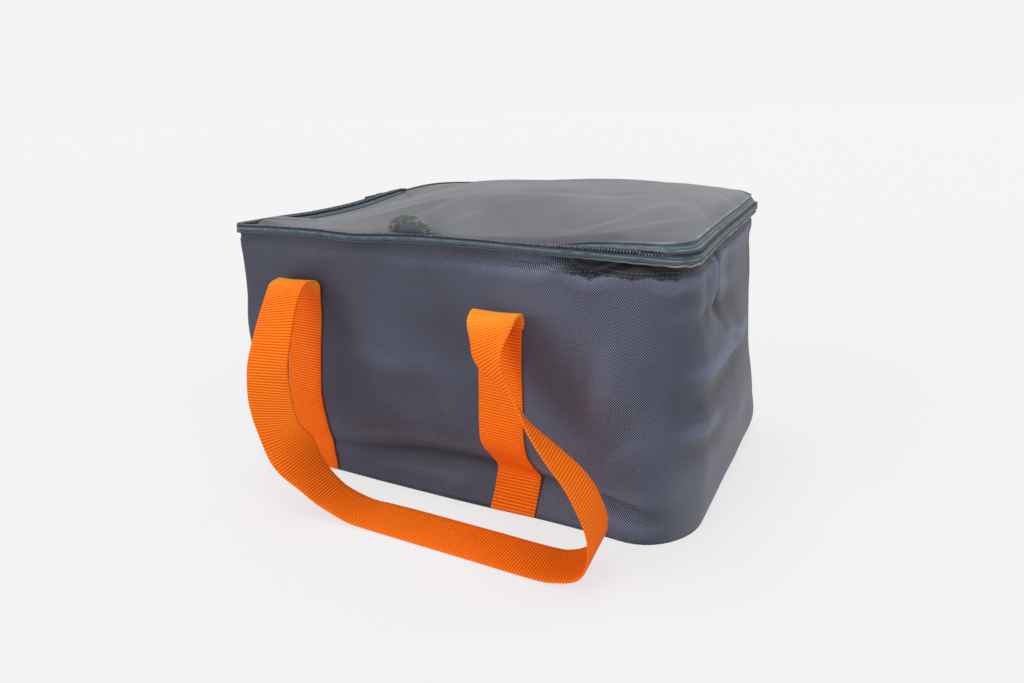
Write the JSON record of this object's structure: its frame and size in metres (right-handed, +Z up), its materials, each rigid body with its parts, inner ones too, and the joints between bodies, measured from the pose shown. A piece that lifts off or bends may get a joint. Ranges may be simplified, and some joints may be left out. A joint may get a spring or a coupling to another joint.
{
  "type": "cooler bag",
  "caption": "Soft insulated cooler bag with a domed zip lid hinged along the back, sewn webbing runs up both faces and a free webbing carry handle front and rear.",
  "frame": {"origin": "middle of the base, on the surface the bag stands on", "axes": "+X along the width to the right seen from the front, -Y out of the front face, +Z up"},
  "size_m": [0.4054, 0.3744, 0.247],
  "materials": {
    "body_cloth": "coated plain weave",
    "lid_cloth": "coated plain weave",
    "foam": "closed-cell foam",
    "lining": "smooth foil-look film",
    "tape": "herringbone tape",
    "coil": "nylon coil",
    "edge_cord": "woven cord",
    "webbing": "ribbed webbing",
    "slider_metal": "satin"
  },
  "bodies": {
    "shell": {"outer_wall": "body_cloth", "base_panel": "body_cloth", "base_foam": "foam", "back_foam": "foam", "left_foam": "foam", "front_foam": "foam", "right_foam": "foam", "base_lining": "lining", "wall_lining": "lining", "rim_facing": "lining", "body_zip_tape": "tape", "body_zip_coil": "coil", "body_edge_cord": "edge_cord", "zip_end_tab_left": "body_cloth", "zip_end_tab_right": "body_cloth", "front_webbing_left": "webbing", "front_webbing_right": "webbing", "rear_webbing_left": "webbing", "rear_webbing_right": "webbing"},
    "lid": {"lid_cover": "lid_cloth", "lid_foam": "foam", "lid_lining": "lining", "lid_zip_tape": "tape", "lid_zip_coil": "coil", "lid_edge_cord": "edge_cord", "hinge_band": "body_cloth", "grab_tab_core": "lid_cloth", "grab_tab_binding": "tape"},
    "slider": {"zip_slider": "slider_metal", "slider_bridge": "slider_metal"},
    "pull": {"zip_pull": "slider_metal"},
    "front_handle": {"front_handle": "webbing"},
    "rear_handle": {"rear_handle": "webbing"}
  },
  "joints": [
    {"name": "lid_hinge", "type": "hinge", "parent": "shell", "child": "lid", "pos_m": [0, 0.1208, 0.216], "axis": [-1, 0, 0], "range_deg": [0, 105]},
    {"name": "zip_slide", "type": "slide", "parent": "shell", "child": "slider", "axis": [0, -1, 0], "range_m": [0, 0.16]},
    {"name": "zip_pull_swing", "type": "hinge", "parent": "slider", "child": "pull", "pos_m": [-0.20155, 0.0839, 0.216], "axis": [0, 0, -1], "range_deg": [0, 120]},
    {"name": "front_handle_swing", "type": "hinge", "parent": "shell", "child": "front_handle", "pos_m": [0, -0.14415, 0.1625], "axis": [-1, 0, 0], "range_deg": [0, 150]},
    {"name": "rear_handle_swing", "type": "hinge", "parent": "shell", "child": "rear_handle", "pos_m": [0, 0.13756, 0.1625], "axis": [1, 0, 0], "range_deg": [0, 135]}
  ]
}
